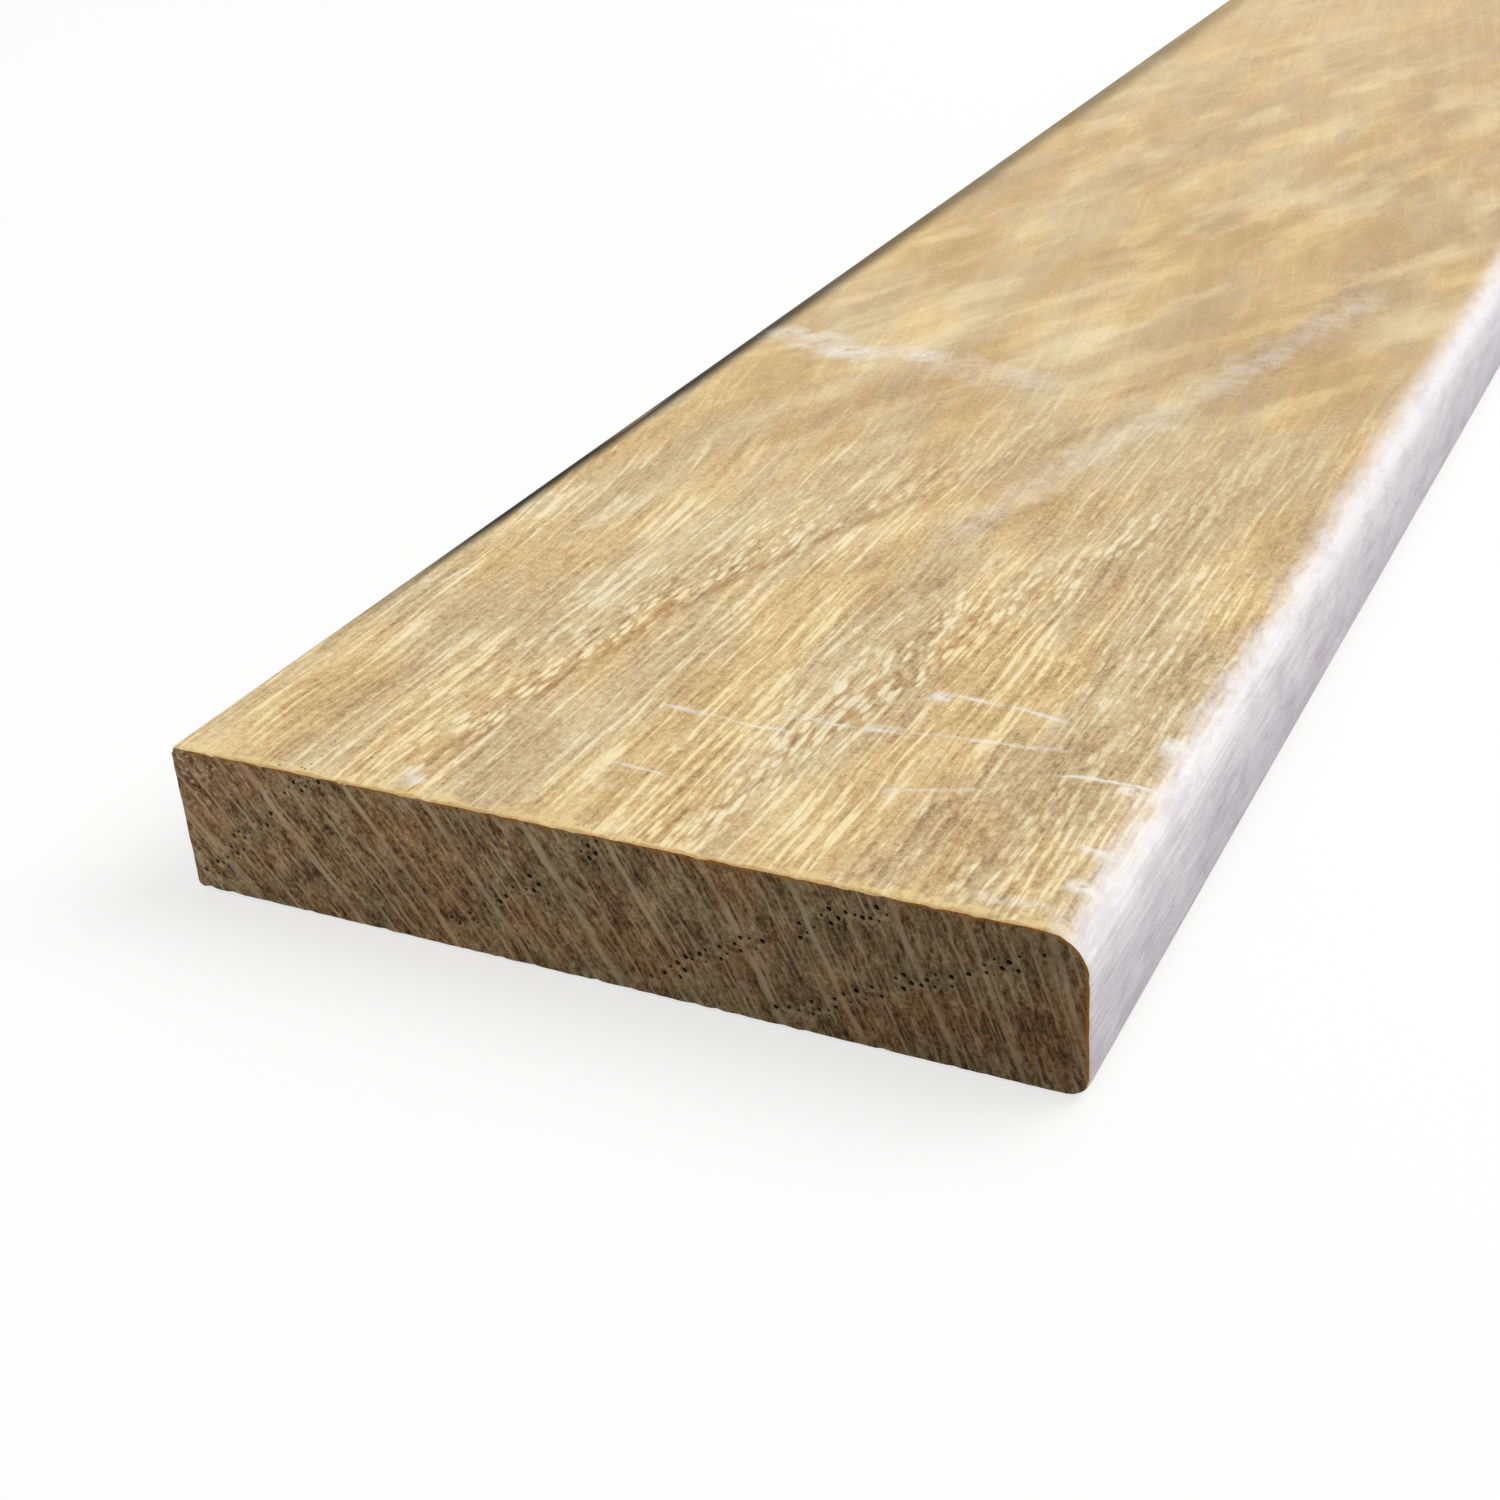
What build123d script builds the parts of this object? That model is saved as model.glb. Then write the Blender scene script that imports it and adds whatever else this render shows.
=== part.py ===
from build123d import *
import os

# One length of planed solid oak window reveal trim: a flat strip with a pencil round along one long edge.
# It is a single piece of timber, so it is a single solid.
# Frame: X runs along the strip, Y across it with the rounded room-side edge at -Y and the edge that
# meets the window frame at +Y, and Z points up out of the face that is bonded to the reveal.
# The origin is the middle of that bonding face. All sizes are in millimetres.

# Driving dimensions
length = 1000.0              # stock length
width = 70.0                 # across the face
thickness = 12.0
pencil_round = 3.0           # radius along the upper room-side edge, the one that stays in view
room_side_lower_arris = 1.5  # radius that takes the sharpness off the lower room-side edge
frame_side_arris = 0.5       # radius on both arrises of the square edge, which are only sanded

node_name = "oak_reveal_trim"


def corner_of(outline, across, up):
    """The vertex of the section nearest to one corner of the blank."""
    return outline.vertices().sort_by_distance((across, up))[0]


def trim_section():
    """The planed section, drawn with the room side at -X and the bonding face along Y = 0."""
    half = width / 2
    outline = Rectangle(width, thickness, align=(Align.CENTER, Align.MIN))
    worked_edges = [
        (-half, thickness, pencil_round),
        (-half, 0.0, room_side_lower_arris),
        (half, thickness, frame_side_arris),
        (half, 0.0, frame_side_arris),
    ]
    for across, up, radius in worked_edges:
        outline = fillet(corner_of(outline, across, up), radius)
    return outline


def trim_strip():
    """The section run along X and cross-cut square at both ends."""
    first_end = Plane.YZ.offset(-length / 2)
    strip = extrude(first_end * trim_section(), amount=length)
    strip.label = node_name
    return strip


os.makedirs("parts", exist_ok=True)
export_step(trim_strip(), f"parts/{node_name}.step")
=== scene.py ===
import math
import random
from functools import reduce

import bmesh
import bpy
from mathutils import Matrix, Vector, noise


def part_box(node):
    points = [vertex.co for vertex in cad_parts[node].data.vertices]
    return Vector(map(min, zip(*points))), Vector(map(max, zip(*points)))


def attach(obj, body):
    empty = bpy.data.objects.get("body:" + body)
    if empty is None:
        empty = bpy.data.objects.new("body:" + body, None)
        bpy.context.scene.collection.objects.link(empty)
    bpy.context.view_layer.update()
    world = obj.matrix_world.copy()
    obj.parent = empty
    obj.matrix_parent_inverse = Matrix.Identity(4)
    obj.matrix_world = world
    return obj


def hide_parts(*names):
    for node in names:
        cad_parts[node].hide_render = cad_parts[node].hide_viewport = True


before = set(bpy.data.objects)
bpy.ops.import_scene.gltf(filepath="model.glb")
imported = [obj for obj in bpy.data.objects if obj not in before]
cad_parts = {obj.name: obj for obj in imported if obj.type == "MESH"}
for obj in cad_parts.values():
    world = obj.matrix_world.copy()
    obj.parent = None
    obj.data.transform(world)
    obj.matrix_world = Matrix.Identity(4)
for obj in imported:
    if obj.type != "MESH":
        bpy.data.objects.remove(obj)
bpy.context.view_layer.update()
boardLow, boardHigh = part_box("oak_reveal_trim")
print("frame loaded")

# The board's sizes, in mm
mm = 0.001
length = (boardHigh.x - boardLow.x) / mm
width = (boardHigh.y - boardLow.y) / mm
thickness = (boardHigh.z - boardLow.z) / mm
pencilRound = 3.0                               # radius of the upper room-side edge
roundAcross = width - pencilRound               # where that round starts on the face
roundUp = thickness - pencilRound               # and on the room side


# A socket that Python can do sums with: each sum adds a Math node to the material.
class Wire:
    def __init__(self, nodeTree, socket=None):
        self.nodeTree = nodeTree
        self.socket = socket

    def node(self, kind, settings=None, inputs=None, output=0):
        made = self.nodeTree.nodes.new(kind)
        for name, value in (settings or {}).items():
            if name == "stops":
                fillRamp(made.color_ramp, value)
            else:
                setattr(made, name, value)
        for name, value in (inputs or {}).items():
            if isinstance(value, Wire):
                self.nodeTree.links.new(value.socket, made.inputs[name])
            else:
                made.inputs[name].default_value = value
        return Wire(self.nodeTree, made.outputs[output] if made.outputs else None)

    def sibling(self, output):  # another output of the same node
        return Wire(self.nodeTree, self.socket.node.outputs[output])

    def maths(self, operation, *terms):
        return self.node("ShaderNodeMath", {"operation": operation}, dict(enumerate(terms)))

    def __add__(self, other):
        return self.maths("ADD", self, other)

    def __sub__(self, other):
        return self.maths("SUBTRACT", self, other)

    def __rsub__(self, other):
        return self.maths("SUBTRACT", other, self)

    def __mul__(self, other):
        return self.maths("MULTIPLY", self, other)

    def __truediv__(self, other):
        return self.maths("DIVIDE", self, other)

    def __rtruediv__(self, other):
        return self.maths("DIVIDE", other, self)

    def __pow__(self, other):
        return self.maths("POWER", self, other)

    def __abs__(self):
        return self.maths("ABSOLUTE", self)

    def atLeast(self, other):
        return self.maths("MAXIMUM", self, other)

    def atMost(self, other):
        return self.maths("MINIMUM", self, other)

    # 0 at low, 1 at high and an easy curve between them; with low above high it falls instead
    def rise(self, low, high):
        if low > high:
            return 1 - self.rise(high, low)
        settings = {"interpolation_type": "SMOOTHSTEP"}
        return self.node("ShaderNodeMapRange", settings, {"Value": self, "From Min": low, "From Max": high})

    __radd__ = __add__
    __rmul__ = __mul__


def fillRamp(ramp, stops):
    while len(ramp.elements) < len(stops):
        ramp.elements.new(1.0)
    for element, (place, colour) in zip(ramp.elements, stops):
        element.position = place
        element.color = colour


def shade(red, green, blue):  # a colour as a screen shows it, 0 to 255, in the shader's linear numbers
    parts = [part / 255 for part in (red, green, blue)]
    linear = [part / 12.92 if part < 0.04045 else ((part + 0.055) / 1.055) ** 2.4 for part in parts]
    return (*linear, 1.0)


def blend(factor, first, second, mode="MIX"):
    settings = {"data_type": "RGBA", "blend_type": mode}
    inputs = {0: factor, 6: first, 7: second}                # a colour mix's factor and its two colours
    return factor.node("ShaderNodeMix", settings, inputs, output=2)


def stretched(place, sizes, seed):  # a place counted in blobs of these sizes in mm; a seed moves it elsewhere
    scale = tuple(1 / size for size in sizes)
    inputs = {0: place, 1: scale, 2: (seed, seed * 0.7, seed * 1.3)}
    return place.node("ShaderNodeVectorMath", {"operation": "MULTIPLY_ADD"}, inputs)


def swirl(place, sizes, detail, rough, seed):  # noise with blobs of about these sizes in mm
    inputs = {"Vector": stretched(place, sizes, seed), "Scale": 1.0, "Detail": detail, "Roughness": rough}
    return place.node("ShaderNodeTexNoise", {}, inputs)


# How far a place is from the middle of its cell, and a number from 0 to 1 for each cell
def cells(place, sizes, seed):
    inputs = {"Vector": stretched(place, sizes, seed), "Scale": 1.0}
    distance = place.node("ShaderNodeTexVoronoi", {}, inputs)
    return distance, place.node("ShaderNodeSeparateColor", {}, {"Color": distance.sibling("Color")})


def nudge(place, across):  # a place moved across the board by a wire in mm
    step = place.node("ShaderNodeCombineXYZ", {}, {"X": across})
    return place.node("ShaderNodeVectorMath", {"operation": "ADD"}, {0: place, 1: step})


def newMaterial(name):
    material = bpy.data.materials.new(name)
    material.use_nodes = True
    material.node_tree.nodes.clear()
    return material, Wire(material.node_tree)


def finishMaterial(start, inputs):
    surface = start.node("ShaderNodeBsdfPrincipled", {}, inputs)
    start.node("ShaderNodeOutputMaterial", {}, {"Surface": surface})


def bumped(height):  # height is a wire in mm
    return height.node("ShaderNodeBump", {}, {"Height": height, "Distance": mm, "Strength": 1.0})


# How this board was cut from its tree, in mm. across runs from the square edge to the rounded one,
# along from the near end, and up from the underside.
# Each noise has the size of its blobs (across, along, up), and its detail, roughness and seed.
tree = {
    "pithAcross": 110, "pithUp": -105,          # the tree's centre, seen at the near end
    "leanAcross": 0.28, "leanUp": -0.04,        # how far it wanders off for each mm along
    "straightens": 785,                         # where along the grain has swung parallel to the edges
    "bend": 8.5, "bendLength": 200,             # a waver in the grain
    "bendFade": 12000,                          # square mm; the larger, the slower it dies out along
    "rings": (113, 116.5, 121, 125.6, 134.7, 147.2, 167.7, 181.8, 193.5, 209, 223, 238, 251, 266, 280, 294),
    "poreRows": (121.7, 127.2, 136.9, 151.4, 167, 182, 196, 210, 224, 238, 252, 266, 280, 294),
    "springWidths": (1.4, 3.2),                 # spring wood in the narrow inner rings and in the others
    "widerRings": (118, 135),                   # the radii between which it widens
    "darkRing": 147.2, "lineWidth": (0.26, 0.06),       # the ring that shows as a dark line
    "lineEnds": (100, 50),                      # mm from an end between which that line fades
    "lineSoftens": 0.02,                        # and how much softer it gets for each mm
    "wander": ((15, 42, 15), 2.0, 0.5, 0),      # slow unevenness of the rings and rays
    "ringWander": 1.6, "rayWander": 0.5,
    "fibres": ((0.7, 11, 0.7), 1.0, 0.5, 5),    # bundles of fibres
    "ringShift": 3.2, "lineShift": 0.9,         # how rings and the dark line step from bundle to bundle
    "fibreLean": 0.17,                          # how far the fibres swing across for each mm along
    "fibreStart": (40, 15), "fibreStop": (260, 40),     # where that starts and stops, and how gently
    "fibreSlant": 1.2,                          # how much farther along that is for each mm across
    "rayRadius": 140, "rayLean": 0.085,         # where rays are measured, and how they turn with the radius
}


def sine(value):
    return value.maths("SINE", value) if isinstance(value, Wire) else math.sin(value)


def pithOffset(across, along, up):  # from the tree's centre line to a point, in numbers or in wires
    sway = along - along * along * along / (3 * tree["straightens"] ** 2)
    fade = 1 + along * along / tree["bendFade"]
    waver = tree["bend"] * sine(along * (2 * math.pi / tree["bendLength"])) / fade
    fromPithAcross = across - tree["pithAcross"] - tree["leanAcross"] * sway + waver
    fromPithUp = up - tree["pithUp"] - tree["leanUp"] * along
    return fromPithAcross, fromPithUp


# Everything that both the faces and the sawn ends show of the wood, worked out in the solid
def oakAnatomy(start):
    x = start.node("ShaderNodeSeparateXYZ", {}, {"Vector": start.node("ShaderNodeTexCoord", output="Object")})
    across = width / 2 - x.sibling("Y") / mm
    along = x / mm + length / 2
    up = x.sibling("Z") / mm
    place = start.node("ShaderNodeCombineXYZ", {}, {"X": across, "Y": along, "Z": up})

    fromPithAcross, fromPithUp = pithOffset(across, along, up)
    wander = swirl(place, *tree["wander"]) - 0.5
    radius = (fromPithAcross ** 2 + fromPithUp ** 2) ** 0.5
    angle = radius.maths("ARCTAN2", fromPithUp, fromPithAcross)
    sweep = angle * tree["rayRadius"] + (radius - tree["rayRadius"]) * tree["rayLean"]
    sweep = sweep + wander * tree["rayWander"]              # mm round the tree
    return {
        "place": place, "across": across, "along": along, "up": up,
        "fromEnd": length / 2 - abs(along - length / 2),
        "radius": radius, "ringRadius": radius + wander * tree["ringWander"], "sweep": sweep,
        "polar": start.node("ShaderNodeCombineXYZ", {}, {"X": sweep, "Y": along, "Z": radius}),
    }


faceLook = {
    "deep": shade(144, 110, 70), "brown": shade(186, 155, 110), "oak": shade(213, 185, 137),
    "straw": shade(232, 209, 161), "cream": shade(250, 234, 193),
    "line": shade(164, 116, 64), "gold": shade(206, 154, 84), "honey": shade(242, 216, 150),
    "warm": shade(255, 250, 237), "cool": shade(246, 249, 255),
    # the pale wash with its painted glare, and the painted shade on it lower down
    "glareWash": shade(250, 247, 250), "washShadow": shade(204, 198, 206),
    # the near-black colour on the next line is painted shade along the square edge
    "rubbed": shade(248, 244, 236), "edgeShade": shade(40, 38, 26), "burnt": shade(168, 108, 40),
    "speck": shade(84, 64, 40),
    "ramp": ((0.0, "deep"), (0.25, "brown"), (0.48, "oak"), (0.72, "straw"), (1.0, "cream")),
    "nearEnd": (110, 25),                       # mm from an end between which the grain comes to stand up
    "crispEnd": (85, 20),                       # and between which its spring pores do
    "middle": (140, 340),                       # and beyond which it lies in long quiet lines
    "brightFibre": 0.56, "gap": 0.18, "fleck": 0.66, "seam": 0.22, "paleSquareEdge": 0.08,
    "gloss": 0.35, "roughness": 0.5,
}

# The face's noises: the size of their blobs in mm (across, along, up), detail, roughness, seed
faceNoise = {
    "bundle": ((4, 12, 4), 1.0, 0.5, 20),
    "streak": ((0.5, 14, 0.5), 1.0, 0.4, 0),
    "knot": ((0.6, 2.4, 0.6), 2.0, 0.7, 23),
    "thread": ((0.26, 2.6, 0.26), 2.0, 0.65, 17),
    "sand": ((0.4, 0.55, 0.4), 3.0, 0.85, 18),
    "flame": ((1.6, 9, 1.6), 3.0, 0.6, 4),
    "bloom": ((11, 18, 4), 3.0, 0.6, 24),       # soft patches that follow the rings
    "cloud": ((10, 30, 10), 2.0, 0.5, 7),
    "quiet": ((1.5, 120, 1.5), 4.0, 0.6, 33),
    "band": ((5, 20, 5), 2.0, 0.5, 16),
    "line": ((1, 4, 1), 3.0, 0.5, 0),
    "hue": ((8, 26, 8), 3.0, 0.6, 19),
    "ragged": ((1.8, 0.9, 1.8), 4.0, 0.7, 25),
    "smear": ((1.2, 3.6, 1.2), 4.0, 0.65, 12),
    "dim": ((2.5, 12, 2.5), 3.0, 0.5, 13),
    "crumple": ((1.8, 5, 1.8), 3.0, 0.65, 27),
    "edgeShade": ((2, 50, 2), 2.0, 0.5, 15),
    "quiver": ((5, 5, 9), 3.0, 0.5, 3),
    "swelling": ((2.4, 2.4, 9), 2.0, 0.5, 9),
    "patch": ((5, 3, 9), 2.0, 0.5, 28),
    "fray": ((1.2, 1.2, 4), 5.0, 0.75, 8),
}

# Its cells: their sizes in mm and their seed
faceCells = {
    "dash": ((0.5, 2.6, 0.5), 30),
    "chain": ((0.55, 2.2, 0.55), 0),
    "speck": ((0.45, 0.6, 0.45), 6),
}

# How strongly each noise shows in the tone: everywhere, more at an end, more in the middle
faceShares = {
    "tone": (0.38, 0.06, 0.04),
    "streak": (0.1, 0.9, 0),
    "thread": (0.1, 0.5, 0),
    "sand": (0.4, 0.9, 0),
    "flame": (0.24, 0.31, -0.14),
    "bloom": (0.28, -0.13, -0.22),
    "cloud": (0.55, 0, -0.35),
    "quiet": (0, 0, 0.5),
}


def pastBend(value, ease):  # 0 well below nought and the value itself well above it
    return (value + (value * value + ease * ease) ** 0.5) / 2


def fibreLane(oak):  # a place that runs with the fibres, which swing across the board for a stretch
    leaning = oak["along"] - oak["across"] * tree["fibreSlant"]
    startPlace, startEase = tree["fibreStart"]
    stopPlace, stopEase = tree["fibreStop"]
    swing = pastBend(leaning - startPlace, startEase) - pastBend(leaning - stopPlace, stopEase)
    bundle = swirl(oak["place"], *faceNoise["bundle"]) - 0.5
    return nudge(oak["place"], swing * tree["fibreLean"] + bundle * 1.1)


def sinceRing(oak, fibre):  # how far out in its ring a place lies, in widths of that ring's spring wood
    radius = oak["ringRadius"] + fibre * tree["ringShift"]
    passed = [radius.maths("GREATER_THAN", radius, ring) * ring for ring in tree["rings"]]
    inner = reduce(Wire.atLeast, passed)
    narrowest, widest = tree["springWidths"]
    springWidth = oak["radius"].rise(*tree["widerRings"]) * (widest - narrowest) + narrowest
    return (radius - inner) / springWidth


def springPores(oak, lane, sand, since):  # cut lengthwise: chains of pale flecks, with seams between them
    crisp = oak["fromEnd"].rise(*faceLook["crispEnd"])
    band = swirl(oak["place"], *faceNoise["band"]).rise(0.28, 0.5)
    spring = since.rise(1.1, 0.3) * band * (crisp * 0.95 + 0.05) * oak["across"].rise(width - 2, width - 10)
    chain, chainNumber = cells(nudge(lane, (sand - 0.5) * 0.4), *faceCells["chain"])
    flecks = spring * chain.rise(0.5, 0.25) * chainNumber.rise(0.2, 0.5)
    seams = spring * chain.rise(0.45, 0.7) * chainNumber.rise(0.15, 0.4)
    return flecks, seams


def darkLine(oak, lane, fibre):  # the dark line of one ring, which softens and dies out away from the end
    fromLine = abs(oak["ringRadius"] + fibre * tree["lineShift"] - tree["darkRing"])
    softer = oak["fromEnd"] * tree["lineSoftens"] + 1
    line = (fromLine / softer).rise(*tree["lineWidth"]) / (softer * 0.4 + 0.6)
    line = line * oak["fromEnd"].rise(*tree["lineEnds"])
    return line * (swirl(lane, *faceNoise["line"]).rise(0.42, 0.56) + 0.4)


# The marks at the saw cut, in mm: how far in from it they fade, how ragged that is, and how strong they are
sawnEdge = {
    "honeyWidth": (1.3, 0), "honeyRagged": 6, "honey": 0.7,
    "burntWidth": (0.32, 0.1), "burntRagged": 1.6, "burnt": 0.5,
    "specksWidth": (8, 1), "specksAcross": 12, "specksReach": (6, 2),
    "specksOften": 0.35, "specks": 0.85,
}


def markSawnEdge(wood, oak):  # a honey band, partly the wood's colour and partly a painted highlight, a burnt line that comes and goes, and dark specks in one place
    place, across, fromEnd = (oak[name] for name in ("place", "across", "fromEnd"))
    ragged = swirl(place, *faceNoise["ragged"]) - 0.5
    # the honey band is partly a painted highlight along the saw cut's arris
    honey = (fromEnd + ragged * sawnEdge["honeyRagged"]).rise(*sawnEdge["honeyWidth"])
    wood = blend(honey * sawnEdge["honey"], wood, faceLook["honey"])
    burnt = (fromEnd + ragged * sawnEdge["burntRagged"]).rise(*sawnEdge["burntWidth"])
    wood = blend(burnt * sawnEdge["burnt"], wood, faceLook["burnt"])
    speck, speckNumber = cells(place, *faceCells["speck"])
    often = abs(across - sawnEdge["specksAcross"]).rise(*sawnEdge["specksReach"]) * sawnEdge["specksOften"]
    often = often * fromEnd.rise(*sawnEdge["specksWidth"])
    specks = speck.rise(0.3, 0.15) * (often - speckNumber).rise(0, 0.05)
    return blend(specks * sawnEdge["specks"], wood, faceLook["speck"])


# The pale wash on the room-side edge, with painted glare on it: a painted highlight on the round and painted
# shade lower down
glareWash = {
    "border": (-0.1, 1.0),                      # radians round the edge between which it comes up
    "ragged": 0.4, "raggedNear": 0.8,           # how far that strays, and how much more at an end
    "ontoFace": 0.25,                           # radians that each mm of the face counts for
    "foot": (0.2, 0.9),                         # mm above the underside between which it begins
    "dimBelow": (9.5, 2.0), "dimRagged": 12, "dim": 0.75,   # painted shade: it is duller lower down, in mm
    "crumpled": 0.28, "crumpledNear": 0.14,
    "strength": 0.95,
}


def glareWashEdge(wood, oak, near, crumple):  # a painted highlight, brightest on the round, and ragged where it runs out on the face
    place, across, up = (oak[name] for name in ("place", "across", "up"))
    pastStart = across - roundAcross
    turn = across.maths("ARCTAN2", pastStart.atLeast(0), (up - roundUp).atLeast(0.01))
    smear = swirl(place, *faceNoise["smear"]) - 0.5
    reach = turn + pastStart.atMost(0) * glareWash["ontoFace"]
    reach = reach + smear * (near * glareWash["raggedNear"] + glareWash["ragged"])
    covered = reach.rise(*glareWash["border"]) * (up + smear * 2).rise(*glareWash["foot"])
    lower = (up + (swirl(place, *faceNoise["dim"]) - 0.5) * glareWash["dimRagged"]).rise(*glareWash["dimBelow"])
    shadow = crumple.rise(0.54, 0.34) * (near * glareWash["crumpledNear"] + glareWash["crumpled"]) + lower * glareWash["dim"]
    glareTone = blend(shadow, faceLook["glareWash"], faceLook["washShadow"])
    return blend(covered * glareWash["strength"], wood, glareTone)


# The painted shade along the square edge, a dark line, in mm
edgeShadeLine = {
    "width": (1.4, 0.4), "widens": 0.01,        # and how much wider it gets for each mm along
    "down": (0.9, 0.45),                        # how far it goes down the side
    "starts": (12, 45),
    "thins": (180, 60), "ends": (420, 160), "left": 0.6,    # it fades twice, and this much is left between
}


# painted shade: a dark, patchy line along the square edge, fading away from the near end
def squareEdgeShade(oak):
    along = oak["along"]
    fading = along.rise(*edgeShadeLine["thins"]) * (1 - edgeShadeLine["left"])
    fading = fading + along.rise(*edgeShadeLine["ends"]) * edgeShadeLine["left"]
    line = (oak["across"] / (along * edgeShadeLine["widens"] + 1)).rise(*edgeShadeLine["width"])
    line = line * (thickness - oak["up"]).rise(*edgeShadeLine["down"])
    patchy = swirl(oak["place"], *faceNoise["edgeShade"]).rise(0.2, 0.4)
    return line * along.rise(*edgeShadeLine["starts"]) * fading * patchy


# Pale marks on the upper face: from (across, along) to (across, along), how wide in mm, how strong
rubs = [
    ((50.2, 26.4), (60.2, 25.2), 0.34, 0.9),
    ((49.0, 26.0), (50.8, 25.3), 0.9, 0.9),
    ((40.0, 18.9), (62.2, 21.2), 0.36, 0.75),
    ((46.0, 19.7), (49.6, 20.3), 0.8, 0.6),
    ((30.5, 17.9), (42.2, 17.2), 0.3, 0.8),
    ((50.8, 12.3), (57.6, 14.1), 0.26, 0.75),
    ((51.2, 12.0), (52.6, 11.6), 0.5, 0.6),
    ((32.0, 8.9), (36.8, 8.7), 0.32, 0.65),
    ((31.0, 6.2), (37.0, 6.0), 0.26, 0.35),
    ((61.0, 17.6), (68.8, 18.4), 0.34, 0.95),
    ((65.8, 17.3), (67.8, 17.2), 0.9, 1.0),
    ((67.2, 22.6), (68.4, 25.2), 1.0, 1.0),
    ((65.6, 9.8), (68.6, 9.5), 0.9, 0.95),
    ((66.4, 5.5), (68.8, 5.2), 0.9, 1.0),
    ((61.2, 2.1), (67.0, 2.7), 0.5, 0.65),
    ((18.4, 3.6), (20.4, 1.2), 1.5, 0.9),       # a bruise at the saw cut
    ((1.0, 97.5), (11.0, 94.5), 3.8, 0.7),      # a broad smudge that starts at the square edge
    ((8.0, 92.5), (23.0, 95.0), 3.6, 0.8),
    ((20.0, 92.5), (38.0, 90.0), 4.2, 0.35),
    ((40.0, 52.0), (43.5, 68.0), 2.4, 0.35),    # a faint one farther along
    ((43.0, 66.0), (49.5, 89.0), 3.0, 0.35),
    ((49.5, 88.0), (59.0, 127.0), 3.2, 0.35),
]


def rubMarks(oak):
    place, across, along = (oak[name] for name in ("place", "across", "along"))
    quiver = (swirl(place, *faceNoise["quiver"]) - 0.5) * 1.6
    swelling = swirl(place, *faceNoise["swelling"]).rise(0.3, 0.7) * 1.2 + 0.5
    marks = []
    for begin, end, markWidth, strength in rubs:
        begin = Vector(begin)
        end = Vector(end)
        reach = (end - begin).length
        way = (end - begin) / reach
        middle = (begin + end) / 2
        down = across * way.x + along * way.y - middle.dot(way)
        off = along * way.x - across * way.y - way.cross(middle) + quiver
        mark = (abs(off) / swelling).rise(markWidth, 0.0) * abs(down).rise(reach * 0.55, reach * 0.3)
        marks.append(mark * strength)
    patchy = swirl(place, *faceNoise["patch"]).rise(0.36, 0.56) * 0.45 + 0.55
    frayed = swirl(place, *faceNoise["fray"]).rise(0.3, 0.54)
    return reduce(Wire.atLeast, marks) * patchy * frayed * oak["up"].rise(thickness - 1.2, thickness - 0.6)


def makeFaceOak():
    material, start = newMaterial("planed_oak")
    oak = oakAnatomy(start)
    place, across, fromEnd = (oak[name] for name in ("place", "across", "fromEnd"))
    near = fromEnd.rise(*faceLook["nearEnd"])
    middle = fromEnd.rise(*faceLook["middle"])
    lane = fibreLane(oak)

    def shown(name):
        share, atEnd, inMiddle = faceShares[name]
        return sum([wire * more for wire, more in ((near, atEnd), (middle, inMiddle)) if more], share)

    plain = ("sand", "cloud", "hue", "crumple")
    sand, cloud, hue, crumple = (swirl(place, *faceNoise[name]) for name in plain)
    withFibres = ("streak", "knot", "thread", "flame", "quiet")
    streak, knot, thread, flame, quiet = (swirl(lane, *faceNoise[name]) for name in withFibres)
    bloom = swirl(oak["polar"], *faceNoise["bloom"])
    fibre = swirl(place, *tree["fibres"]) - 0.5
    dash, dashNumber = cells(lane, *faceCells["dash"])

    since = sinceRing(oak, fibre)
    flecks, seams = springPores(oak, lane, sand, since)
    dashes = dash.rise(0.5, 0.22) * dashNumber.rise(0.4, 0.75) * (since.rise(2.6, 0.8) * 0.75 + 0.25)
    bright = (streak.rise(0.54, 0.65) * (knot.rise(0.36, 0.56) * 0.65 + 0.35)).atLeast(dashes)
    streaks = bright * faceLook["brightFibre"] - streak.rise(0.46, 0.34) * faceLook["gap"]
    lively = cloud.rise(0.36, 0.6) * 0.6 + 0.4               # calm stretches between streaky ones

    tone = shown("tone") + streaks * lively * shown("streak")
    tone = tone + (thread - 0.5) * shown("thread") + (sand - 0.5) * shown("sand")
    tone = tone + (flame - 0.5) * shown("flame") + bloom.rise(0.43, 0.72) * shown("bloom")
    tone = tone + (cloud - 0.5) * shown("cloud") + (quiet - 0.5) * shown("quiet")
    tone = tone + flecks * faceLook["fleck"] - seams * faceLook["seam"]
    tone = tone + (0.5 - across / width) * faceLook["paleSquareEdge"]

    stops = [(at, faceLook[name]) for at, name in faceLook["ramp"]]
    wood = start.node("ShaderNodeValToRGB", {"stops": stops}, {0: tone})
    wood = blend(hue.rise(0.48, 0.6) * (1 - middle * 0.7), wood, faceLook["warm"], "MULTIPLY")
    wood = blend(hue.rise(0.52, 0.4) * (1 - middle * 0.7), wood, faceLook["cool"], "MULTIPLY")
    wood = blend(seams * thread.rise(0.42, 0.56) * 0.5, wood, faceLook["gold"])
    wood = blend(darkLine(oak, lane, fibre) * 0.55, wood, faceLook["line"])
    wood = markSawnEdge(wood, oak)
    # the pale wash and painted glare on the rounded edge, with painted shade lower down
    wood = glareWashEdge(wood, oak, near, crumple)
    # painted shade along the square edge
    edgeShade = squareEdgeShade(oak)
    wood = blend(edgeShade, wood, faceLook["edgeShade"])
    wood = blend(rubMarks(oak) * 0.85, wood, faceLook["rubbed"])

    height = streak * near * 0.1 + thread * 0.035 + sand * 0.015
    height = height + crumple * across.rise(roundAcross, width - 1) * 0.12
    rough = thread * 0.15 + edgeShade * 0.4 + faceLook["roughness"]
    finishMaterial(start, {"Base Color": wood, "Roughness": rough, "Normal": bumped(height),
                           "Specular IOR Level": faceLook["gloss"]})
    return material


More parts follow.
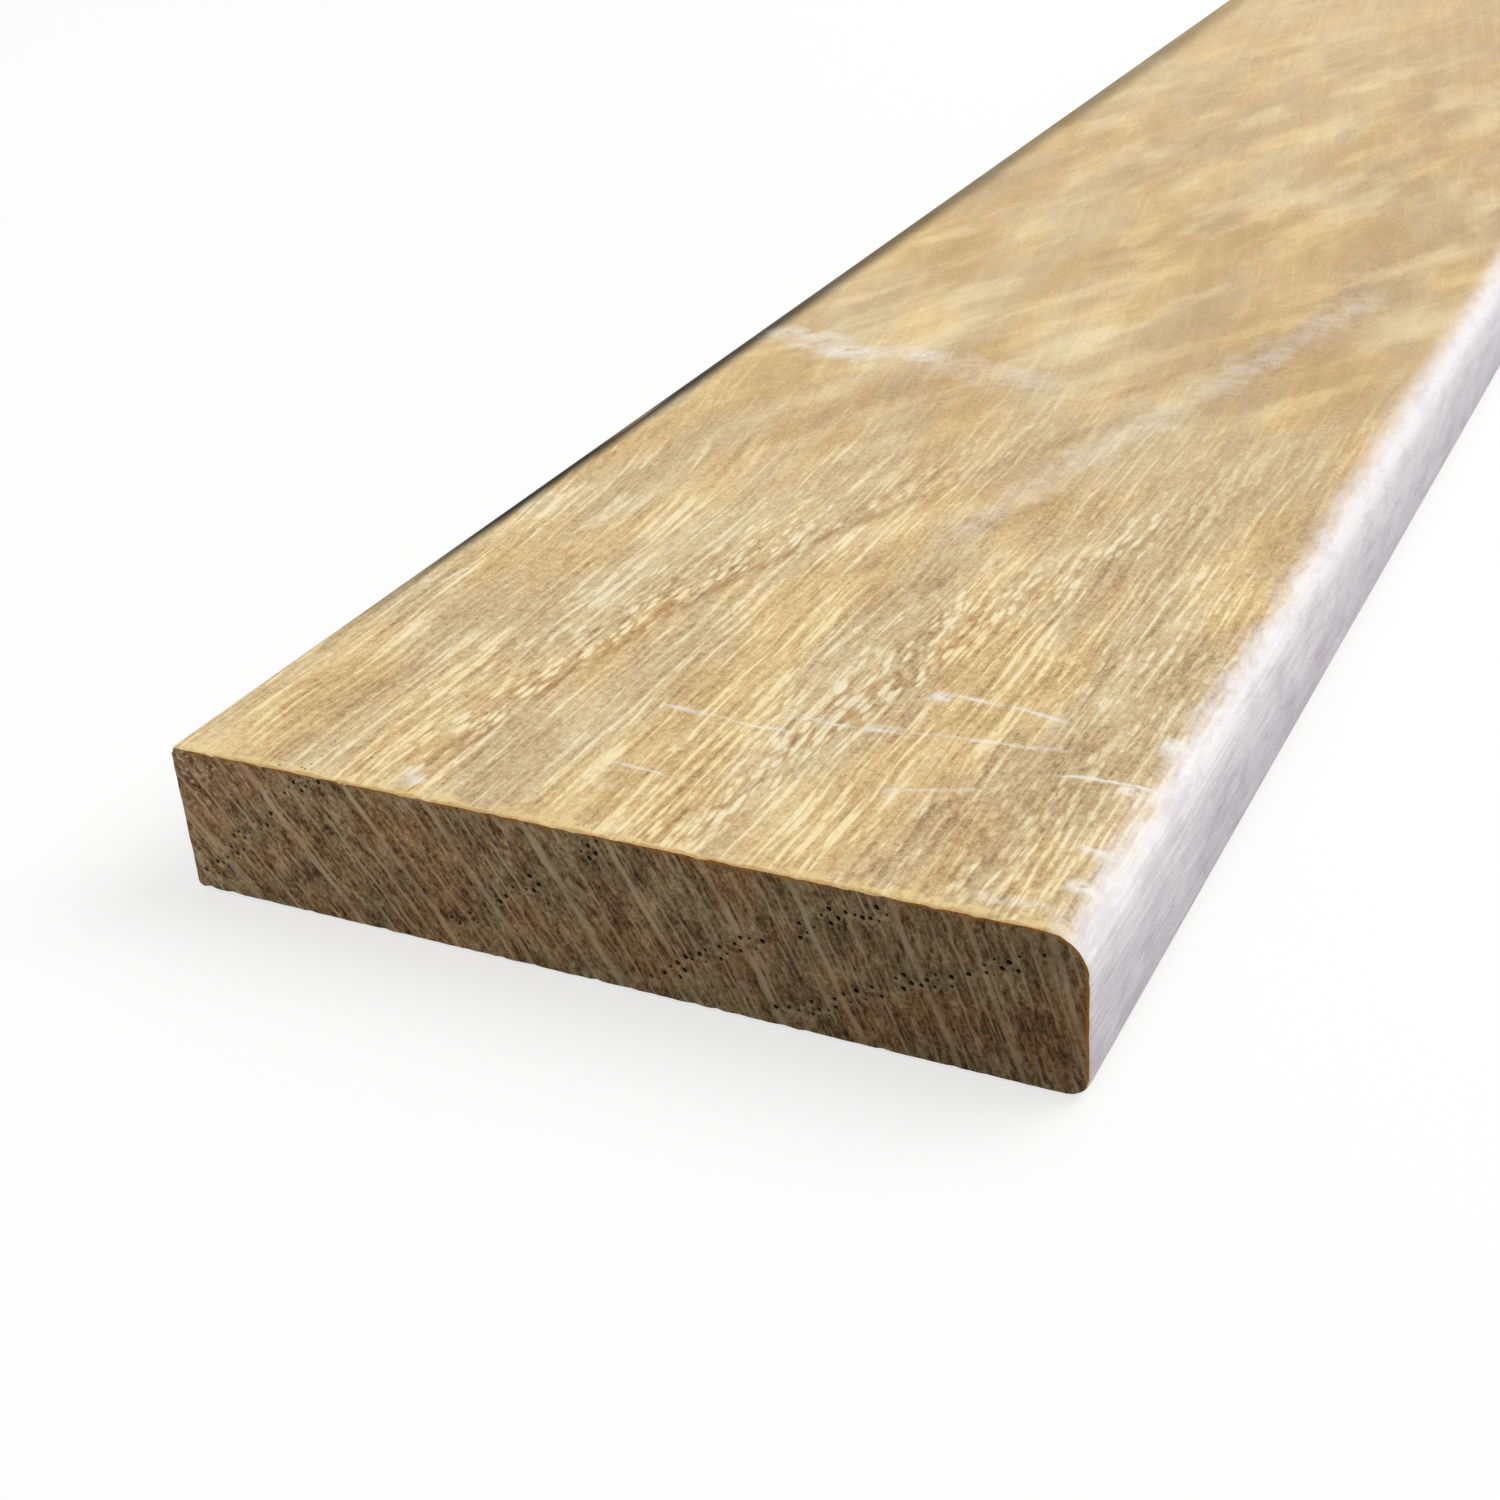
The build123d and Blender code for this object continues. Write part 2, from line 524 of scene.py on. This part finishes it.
endLook = {
    "dark": shade(72, 50, 28), "brown": shade(150, 117, 78), "tan": shade(196, 166, 124),
    "pale": shade(234, 209, 170), "poreShade": shade(26, 17, 9), "warm": shade(255, 240, 229),
    "cool": shade(243, 246, 244), "shaded": shade(202, 200, 194), "rim": shade(196, 130, 48),
    "scuff": shade(244, 230, 204),
    "ramp": ((0.0, "dark"), (0.38, "brown"), (0.72, "tan"), (1.0, "pale")),
    "middleTone": 0.44, "grain": 1.8, "tissue": 1.7, "mottle": 1.3,
    "wideRays": (267.5, 273.5, 278.6, 285.9, 291.9, 298.4, 304.2, 310.8, 316.1, 322.9, 330, 337, 343, 350,
                 357, 363, 370, 377),           # how far round the tree each broad ray is, in mm
    "fineRays": 1.2,                            # mm from one fine ray to the next
    "gloss": 0.25, "roughness": 0.8,
}

# The sawn end's noises, as for the face
endNoise = {
    "bend": ((1.4, 9, 1.4), 1.0, 0.5, 22),
    "grain": ((0.4, 9, 0.4), 3.0, 0.75, 3),
    "tissue": ((0.4, 9, 1.2), 3.0, 0.65, 4),
    "mottle": ((1.6, 9, 3), 3.0, 0.6, 14),
    "fibre": ((0.26, 12, 2.2), 1.0, 0.5, 10),
    "uneven": ((1.2, 20, 4), 2.0, 0.5, 31),
    "hue": ((6, 20, 6), 4.0, 0.6, 6),
    "rayBend": ((2.2, 9, 2.2), 2.0, 0.5, 8),
    "scuff": ((0.6, 9, 0.4), 3.0, 0.6, 26),
    "ragged": ((1.4, 0.8, 1.4), 4.0, 0.7, 25),
}


def endRays(start, oak, polar):  # broad rays, fine rays, and the fibres and pore walls that are as pale
    uneven = swirl(polar, *endNoise["uneven"])
    nearPore = start.node("ShaderNodeAttribute", {"attribute_name": "nearPore"}, output="Fac")
    sweep = oak["sweep"] + (swirl(oak["place"], *endNoise["rayBend"]) - 0.5) * 0.5
    fromBroad = reduce(Wire.atMost, [abs(sweep - ray) for ray in endLook["wideRays"]])
    broad = fromBroad.rise(0.34, 0.12) * (uneven.rise(0.4, 0.6) * 0.4 + 0.6)
    inputs = {"W": sweep / endLook["fineRays"], "Scale": 1.0, "Randomness": 0.8}
    fromFine = start.node("ShaderNodeTexVoronoi", {"voronoi_dimensions": "1D"}, inputs)
    fine = fromFine.rise(0.14, 0.05) * uneven.rise(0.4, 0.55) * 0.75
    fibre = swirl(polar, *endNoise["fibre"]).rise(0.5, 0.64) * 0.4
    return broad.atLeast(fine).atLeast(fibre).atLeast(nearPore.rise(0.25, 0.75) * 0.6)


def endRim(oak):  # the worn amber rim along the upper and room-side outline
    pastRoundAcross = (oak["across"] - roundAcross).atLeast(0)
    pastRoundUp = (oak["up"] - roundUp).atLeast(0)
    depth = pencilRound - (pastRoundAcross ** 2 + pastRoundUp ** 2) ** 0.5
    ragged = swirl(oak["place"], *endNoise["ragged"])
    return (depth + (ragged - 0.5) * 0.9).rise(0.5, 0.2) * ragged.rise(0.4, 0.52)


def makeEndOak():
    material, start = newMaterial("sawn_oak_end")
    oak = oakAnatomy(start)
    place, across, up = (oak[name] for name in ("place", "across", "up"))
    polar = nudge(oak["polar"], (swirl(place, *endNoise["bend"]) - 0.5) * 0.5)
    grain, hue = (swirl(place, *endNoise[name]) for name in ("grain", "hue"))
    tissue, mottle = (swirl(polar, *endNoise[name]) for name in ("tissue", "mottle"))
    rays = endRays(start, oak, polar)
    tone = (grain - 0.5) * endLook["grain"] + (tissue - 0.5) * endLook["tissue"]
    tone = tone + (mottle - 0.5) * endLook["mottle"] + endLook["middleTone"]

    stops = [(at, endLook[name]) for at, name in endLook["ramp"]]
    wood = start.node("ShaderNodeValToRGB", {"stops": stops}, {0: tone})
    wood = blend(rays * 0.9, wood, endLook["pale"])
    wood = blend(hue.rise(0.46, 0.6), wood, endLook["warm"], "MULTIPLY")
    wood = blend(hue.rise(0.52, 0.4), wood, endLook["cool"], "MULTIPLY")
    # painted shade: the sawn end darker towards the room side and the bottom
    wood = blend((across - up * 1.5).rise(-15, 65), wood, endLook["shaded"], "MULTIPLY")
    scuffed = across.rise(7, 2) * up.rise(6, 9) * swirl(place, *endNoise["scuff"]).rise(0.56, 0.62)
    wood = blend(scuffed * 0.7, wood, endLook["scuff"])
    wood = blend(oak["fromEnd"].rise(0.14, 0.28) * 0.95, wood, endLook["poreShade"])     # down in the pores, partly their own dark colour and partly painted shade
    wood = blend(endRim(oak) * 0.85, wood, endLook["rim"])

    height = grain * 0.12 + tissue * 0.06 + rays * 0.03
    finishMaterial(start, {"Base Color": wood, "Roughness": endLook["roughness"], "Normal": bumped(height),
                           "Specular IOR Level": endLook["gloss"]})
    return material


# The board's mesh, in mm until it is finished
board = {
    "lowerArris": 1.5, "frameArris": 0.5,             # radii of the long edges other than the pencil round
    "roundSegments": 9, "lowerSegments": 5, "frameSegments": 3,
    "column": 0.55,                                   # spacing of the mesh across the face and the ends
    "endCuts": (0.2, 0.5, 1.0, 1.8, 3.0),             # where the mesh is cut close to each end
    "middleCuts": 130,                                # and in how many places between them
    "planed": 0, "sawn": 1,                           # the material slots of the faces and of the ends
}


def cutThrough(bm, direction, places):
    for place in places:
        everything = bm.verts[:] + bm.edges[:] + bm.faces[:]
        bmesh.ops.bisect_plane(bm, geom=everything, dist=1e-5, plane_co=direction * place, plane_no=direction)


def evenPlaces(low, high, spacing):
    steps = round((high - low) / spacing)
    return [low + (high - low) * step / steps for step in range(steps + 1)]


def roundLongEdge(bm, y, z, radius, segments):
    def isHere(edge):
        near = all(abs(vert.co.y - y) < 0.01 and abs(vert.co.z - z) < 0.01 for vert in edge.verts)
        return near and abs(edge.verts[0].co.x - edge.verts[1].co.x) > 1
    edges = [edge for edge in bm.edges if isHere(edge)]
    bmesh.ops.bevel(bm, geom=edges, offset=radius, offset_type="OFFSET", affect="EDGES", segments=segments,
                    profile=0.5, material=-1)


def cutGrid(bm):  # fine columns across the section and along the last few mm, and long rows between them
    acrossPlaces = evenPlaces(-width / 2 + pencilRound, width / 2 - board["frameArris"], board["column"])
    cutThrough(bm, Vector((0, 1, 0)), acrossPlaces)
    cutThrough(bm, Vector((0, 0, 1)), evenPlaces(board["lowerArris"], roundUp, board["column"]))
    abovePlaces = evenPlaces(roundUp, thickness - board["frameArris"], board["column"])
    cutThrough(bm, Vector((0, 0, 1)), abovePlaces[1:])
    for end in (-1, 1):
        cutThrough(bm, Vector((1, 0, 0)), [end * (length / 2 - inset) for inset in board["endCuts"]])
    longEdges = [edge for edge in bm.edges if edge.calc_length() > length / 2]
    bmesh.ops.subdivide_edges(bm, edges=longEdges, cuts=board["middleCuts"], use_grid_fill=True)


def markEnds(bm):  # the ends get the sawn material and a hard outline
    bm.normal_update()
    for face in bm.faces:
        face.smooth = True
        face.material_index = board["sawn"] if abs(face.normal.x) > 0.9 else board["planed"]
    for edge in bm.edges:
        kinds = {face.material_index for face in edge.link_faces}
        edge.smooth = len(kinds) == 1


def makeBoard(faceOak, endOak):
    bm = bmesh.new()
    bmesh.ops.create_cube(bm, size=1)
    bmesh.ops.scale(bm, vec=(length, width, thickness), verts=bm.verts)
    bmesh.ops.translate(bm, vec=(0, 0, thickness / 2), verts=bm.verts)
    half = width / 2
    roundLongEdge(bm, -half, thickness, pencilRound, board["roundSegments"])
    roundLongEdge(bm, -half, 0, board["lowerArris"], board["lowerSegments"])
    roundLongEdge(bm, half, thickness, board["frameArris"], board["frameSegments"])
    roundLongEdge(bm, half, 0, board["frameArris"], board["frameSegments"])
    cutGrid(bm)
    markEnds(bm)
    wearEnds(bm)
    sandRound(bm)
    openPores(bm)
    layBakeMap(bm)

    bmesh.ops.scale(bm, vec=(mm, mm, mm), verts=bm.verts)
    bmesh.ops.recalc_face_normals(bm, faces=bm.faces)
    mesh = bpy.data.meshes.new("oak_strip")
    bm.to_mesh(mesh)
    bm.free()
    mesh.materials.append(faceOak)
    mesh.materials.append(endOak)
    piece = bpy.data.objects.new("oak_strip", mesh)
    bpy.context.scene.collection.objects.link(piece)
    print("board made:", sum(len(face.vertices) - 2 for face in mesh.polygons), "triangles")
    return piece


# What the saw and the sandpaper left, in mm, and how many waves of each noise go in a mm
wear = {
    "endDepth": 0.3,                                  # what is no deeper than this belongs to the saw cut
    "sawMarks": 0.09, "sawWaves": 1.3, "fineSawWaves": 2.9,
    "worn": 0.08, "wornWaves": 0.9,                   # taken off the arrises of an end
    "torn": 0.16, "tornWaves": 1.4, "tornAbove": 0.15, "tornSeed": Vector((7, 3, 1)),
    "besideArris": 0.3,                               # the share of that at the points next to an arris
    "sanded": 0.07, "sandedWaves": Vector((0.05, 0.25, 0.25)), "sandedAbove": 0.5,
}


def wearEnds(bm):  # roughens the saw cuts, takes the sharpness off them and tears out a few fibres
    for vert in bm.verts:
        if length / 2 - abs(vert.co.x) > wear["endDepth"]:
            continue
        kinds = {face.material_index for face in vert.link_faces}
        spot = vert.co.copy()
        if kinds == {board["sawn"]}:
            rough = 0.5 + 0.5 * noise.noise(spot * wear["sawWaves"])
            rough += 0.3 * noise.noise(spot * wear["fineSawWaves"])
            vert.co.x -= math.copysign(wear["sawMarks"] * min(1, max(0, rough)), spot.x)
            continue
        worn = wear["worn"] * (1 + noise.noise(spot * wear["wornWaves"]))
        tearing = noise.noise(spot * wear["tornWaves"] + wear["tornSeed"]) - wear["tornAbove"]
        torn = wear["torn"] * max(0.0, tearing) * 2
        sideways = min(1, max(0, abs(spot.y) - width / 2 + 1))
        inward = Vector((0, -math.copysign(sideways, spot.y), math.copysign(1, thickness / 2 - spot.z)))
        share = 1 if len(kinds) == 2 else wear["besideArris"]
        vert.co += inward.normalized() * (worn + torn) * share


def sandRound(bm):  # the rounded edge was eased by hand, so it isn't quite even
    for vert in bm.verts:
        reach = min(1, max(0, (-vert.co.y - width / 2 + pencilRound) / pencilRound))
        if reach > 0 and vert.co.z > wear["sandedAbove"]:
            off = wear["sanded"] * (0.5 + 0.5 * noise.noise(vert.co * wear["sandedWaves"])) * reach
            vert.co.y += off
            vert.co.z -= off * (vert.co.z > roundUp) * 0.5


# The spring pores that the saw cut across, real holes in each end, in mm
pores = {
    "radii": (0.16, 0.2, 0.24), "uneven": (0.8, 1.05),      # and how far their outlines vary from that
    "depth": 0.5, "rowWidth": 1.2, "apart": 0.6, "jitter": 0.12,
    "rowWaver": 0.6, "waverWaves": 0.3,
    "share": 0.66, "clumping": 1.9, "clumpWaves": 0.4,      # how many there are, and how they crowd
    "neighbours": 80,                                       # of the last ones made, for the space between
    "seed": 11,
}


def choosePores(bm, draw):
    nearPore = bm.verts.layers.float.new("nearPore")        # the end's material reads it
    chosen = []
    for vert in bm.verts:
        onFace = any(face.material_index == board["planed"] for face in vert.link_faces)
        if onFace or len(vert.link_edges) != 4:
            continue
        spot = vert.co.copy()
        offAcross, offUp = pithOffset(width / 2 - spot.y, spot.x + length / 2, spot.z)
        radius = math.hypot(offAcross, offUp) + noise.noise(spot * pores["waverWaves"]) * pores["rowWaver"]
        since = min((radius - ring for ring in tree["poreRows"] if radius >= ring), default=math.inf)
        clump = pores["share"] + noise.noise(spot * pores["clumpWaves"]) * pores["clumping"]
        if since > pores["rowWidth"] or draw.random() > clump:
            continue
        if any((other.co - spot).length < pores["apart"] for other in chosen[-pores["neighbours"]:]):
            continue
        vert.co.y += draw.uniform(-1, 1) * pores["jitter"]
        vert.co.z += draw.uniform(-1, 1) * pores["jitter"]
        vert[nearPore] = 1
        chosen.append(vert)
    return chosen


def openPores(bm):
    draw = random.Random(pores["seed"])
    chosen = choosePores(bm, draw)
    holes = []
    for number, vert in enumerate(chosen):                   # one at a time, so each run makes the same mesh
        radius = pores["radii"][number % len(pores["radii"])]
        holes += bmesh.ops.bevel(bm, geom=[vert], offset=radius, offset_type="OFFSET", affect="VERTICES",
                                 segments=1, profile=0.5, material=-1)["faces"]
    rims = dict.fromkeys(edge for face in holes for edge in face.edges)
    bmesh.ops.bisect_edges(bm, edges=list(rims), cuts=1)
    for face in holes:
        middle = face.calc_center_median()
        reach = max((vert.co - middle).length for vert in face.verts)
        for vert in face.verts:
            vert.co = middle + (vert.co - middle).normalized() * reach * draw.uniform(*pores["uneven"])
    floors = bmesh.ops.extrude_discrete_faces(bm, faces=holes)["faces"]
    for end in (-1, 1):
        verts = dict.fromkeys(vert for face in floors for vert in face.verts if vert.co.x * end > 0)
        bmesh.ops.translate(bm, vec=(-end * pores["depth"], 0, 0), verts=list(verts))
    print("pores opened:", len(holes))


# Where the faces lie on the square image that colours can be baked to
bakeMap = {
    "pixels": 1024, "gap": 8,
    "rows": {"top": 560, "front": 110, "back": 50, "under": 84, "ends": 180},
    "along": ((0, 0.0), (150, 0.3), (900, 0.87), (1000, 1.0)),   # mm from the near end, share of the row
    "farEnd": 0.51, "endShare": 0.49,                            # the two ends share a row
}


def alongRow(along):
    stops = bakeMap["along"]
    for (low, shareLow), (high, shareHigh) in zip(stops, stops[1:]):
        if along <= high:
            return shareLow + (shareHigh - shareLow) * (along - low) / (high - low)
    return 1.0


def isPoreFloor(face):
    deep = all(length / 2 - abs(vert.co.x) > pores["depth"] / 2 for vert in face.verts)
    return deep and face.material_index == board["sawn"]


def layBakeMap(bm):
    bm.normal_update()
    layer = bm.loops.layers.uv.new("OFBake")
    gap = bakeMap["gap"]
    rowStarts = {}
    used = gap / 2
    for row, pixels in bakeMap["rows"].items():
        rowStarts[row] = used
        used += pixels + gap
    shrunk = {}                                              # a pore's floor lies within its mouth
    for face in bm.faces:
        if isPoreFloor(face):
            middle = face.calc_center_median()
            shrunk.update({vert: middle.lerp(vert.co, 0.5) for vert in face.verts})
    for face in bm.faces:
        normal = face.normal
        for loop in face.loops:
            spot = shrunk.get(loop.vert, loop.vert.co)
            across = (width / 2 - spot.y) / width
            up = spot.z / thickness
            u = alongRow(spot.x + length / 2)
            if face.material_index == board["sawn"]:
                row, v = "ends", up
                u = across * bakeMap["endShare"] + (bakeMap["farEnd"] if spot.x > 0 else 0)
            elif abs(normal.z) > abs(normal.y):
                row, v = ("top" if normal.z > 0 else "under"), across
            else:
                row, v = ("front" if normal.y < 0 else "back"), up
            u = gap / 2 + u * (bakeMap["pixels"] - gap)
            v = rowStarts[row] + v * bakeMap["rows"][row]
            loop[layer].uv = (u / bakeMap["pixels"], v / bakeMap["pixels"])


faceOak = makeFaceOak()
endOak = makeEndOak()
print("materials made")
strip = makeBoard(faceOak, endOak)
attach(strip, "root")
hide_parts("oak_reveal_trim")

# Camera, floor and light, with their places in metres
view = {
    "place": Vector((-0.60473, -0.06997, 0.08641)),
    "looksAt": Vector((-0.48612, -0.00533, 0.012)),
    "lens": 53.0, "sensor": 36.0,
    "roll": math.radians(-4.26),
    "clipStart": 0.01,
}


def facing(place, target):  # at a place, and turned so that its -Z axis points at the target
    return Matrix.Translation(place) @ (target - place).to_track_quat("-Z", "Y").to_matrix().to_4x4()


def makeCamera():
    data = bpy.data.cameras.new("camera")
    data.lens = view["lens"]
    data.sensor_width = view["sensor"]
    data.clip_start = view["clipStart"]
    camera = bpy.data.objects.new("camera", data)
    bpy.context.scene.collection.objects.link(camera)
    camera.matrix_world = facing(view["place"], view["looksAt"]) @ Matrix.Rotation(view["roll"], 4, "Z")
    bpy.context.scene.camera = camera


studio = {
    "floorSize": 6.0, "floorDrop": 0.0002, "floorColour": 0.3,
    "floorLift": 0.7, "whiteFrom": 0.7, "whiteAt": 2.2,      # the seen floor goes to white in the distance
    "skyStrength": 0.5,
    "keyPlace": Vector((0.3, -0.95, 1.5)), "keyAim": Vector((-0.35, 0, 0)), "keySize": 1.4, "keyPower": 25.0,
}


def seenDirectly(start):  # 1 for what the camera sees, also in a reflection or through glass
    ray = start.node("ShaderNodeLightPath")
    return ray.atLeast(ray.sibling("Is Glossy Ray")).atLeast(ray.sibling("Is Transmission Ray"))


def makeFloor():
    bm = bmesh.new()
    bmesh.ops.create_grid(bm, x_segments=1, y_segments=1, size=studio["floorSize"] / 2)
    bmesh.ops.translate(bm, vec=(0, 0, -studio["floorDrop"]), verts=bm.verts)
    mesh = bpy.data.meshes.new("floor")
    bm.to_mesh(mesh)
    bm.free()
    material, start = newMaterial("pale_floor")
    place = start.node("ShaderNodeTexCoord", output="Object")
    away = start.node("ShaderNodeVectorMath", {"operation": "LENGTH"}, {0: place}, output="Value")
    whiter = away.rise(studio["whiteFrom"], studio["whiteAt"])
    glow = whiter * (1 - studio["floorLift"]) + studio["floorLift"]
    seen = seenDirectly(start)
    lift = start.node("ShaderNodeEmission", {}, {"Color": (1, 1, 1, 1), "Strength": seen * glow})
    colour = (studio["floorColour"],) * 3 + (1.0,)
    paint = start.node("ShaderNodeBsdfDiffuse", {}, {"Color": colour})
    surface = start.node("ShaderNodeAddShader", {}, {0: paint, 1: lift})
    start.node("ShaderNodeOutputMaterial", {}, {"Surface": surface})
    mesh.materials.append(material)
    floor = bpy.data.objects.new("floor", mesh)
    bpy.context.scene.collection.objects.link(floor)


def makeSky():
    world = bpy.data.worlds.new("studio")
    bpy.context.scene.world = world
    world.use_nodes = True
    world.node_tree.nodes.clear()
    start = Wire(world.node_tree)
    strength = studio["skyStrength"] + seenDirectly(start) * (1 - studio["skyStrength"])
    sky = start.node("ShaderNodeBackground", {}, {"Color": (1, 1, 1, 1), "Strength": strength})
    start.node("ShaderNodeOutputWorld", {}, {"Surface": sky})


def makeKeyLamp():
    data = bpy.data.lights.new("key", "AREA")
    data.shape = "DISK"
    data.size = studio["keySize"]
    data.energy = studio["keyPower"]
    lamp = bpy.data.objects.new("key", data)
    lamp.matrix_world = facing(studio["keyPlace"], studio["keyAim"])
    bpy.context.scene.collection.objects.link(lamp)


makeCamera()
makeFloor()
makeSky()
makeKeyLamp()
bpy.context.scene.view_settings.view_transform = "Standard"
print("studio made")
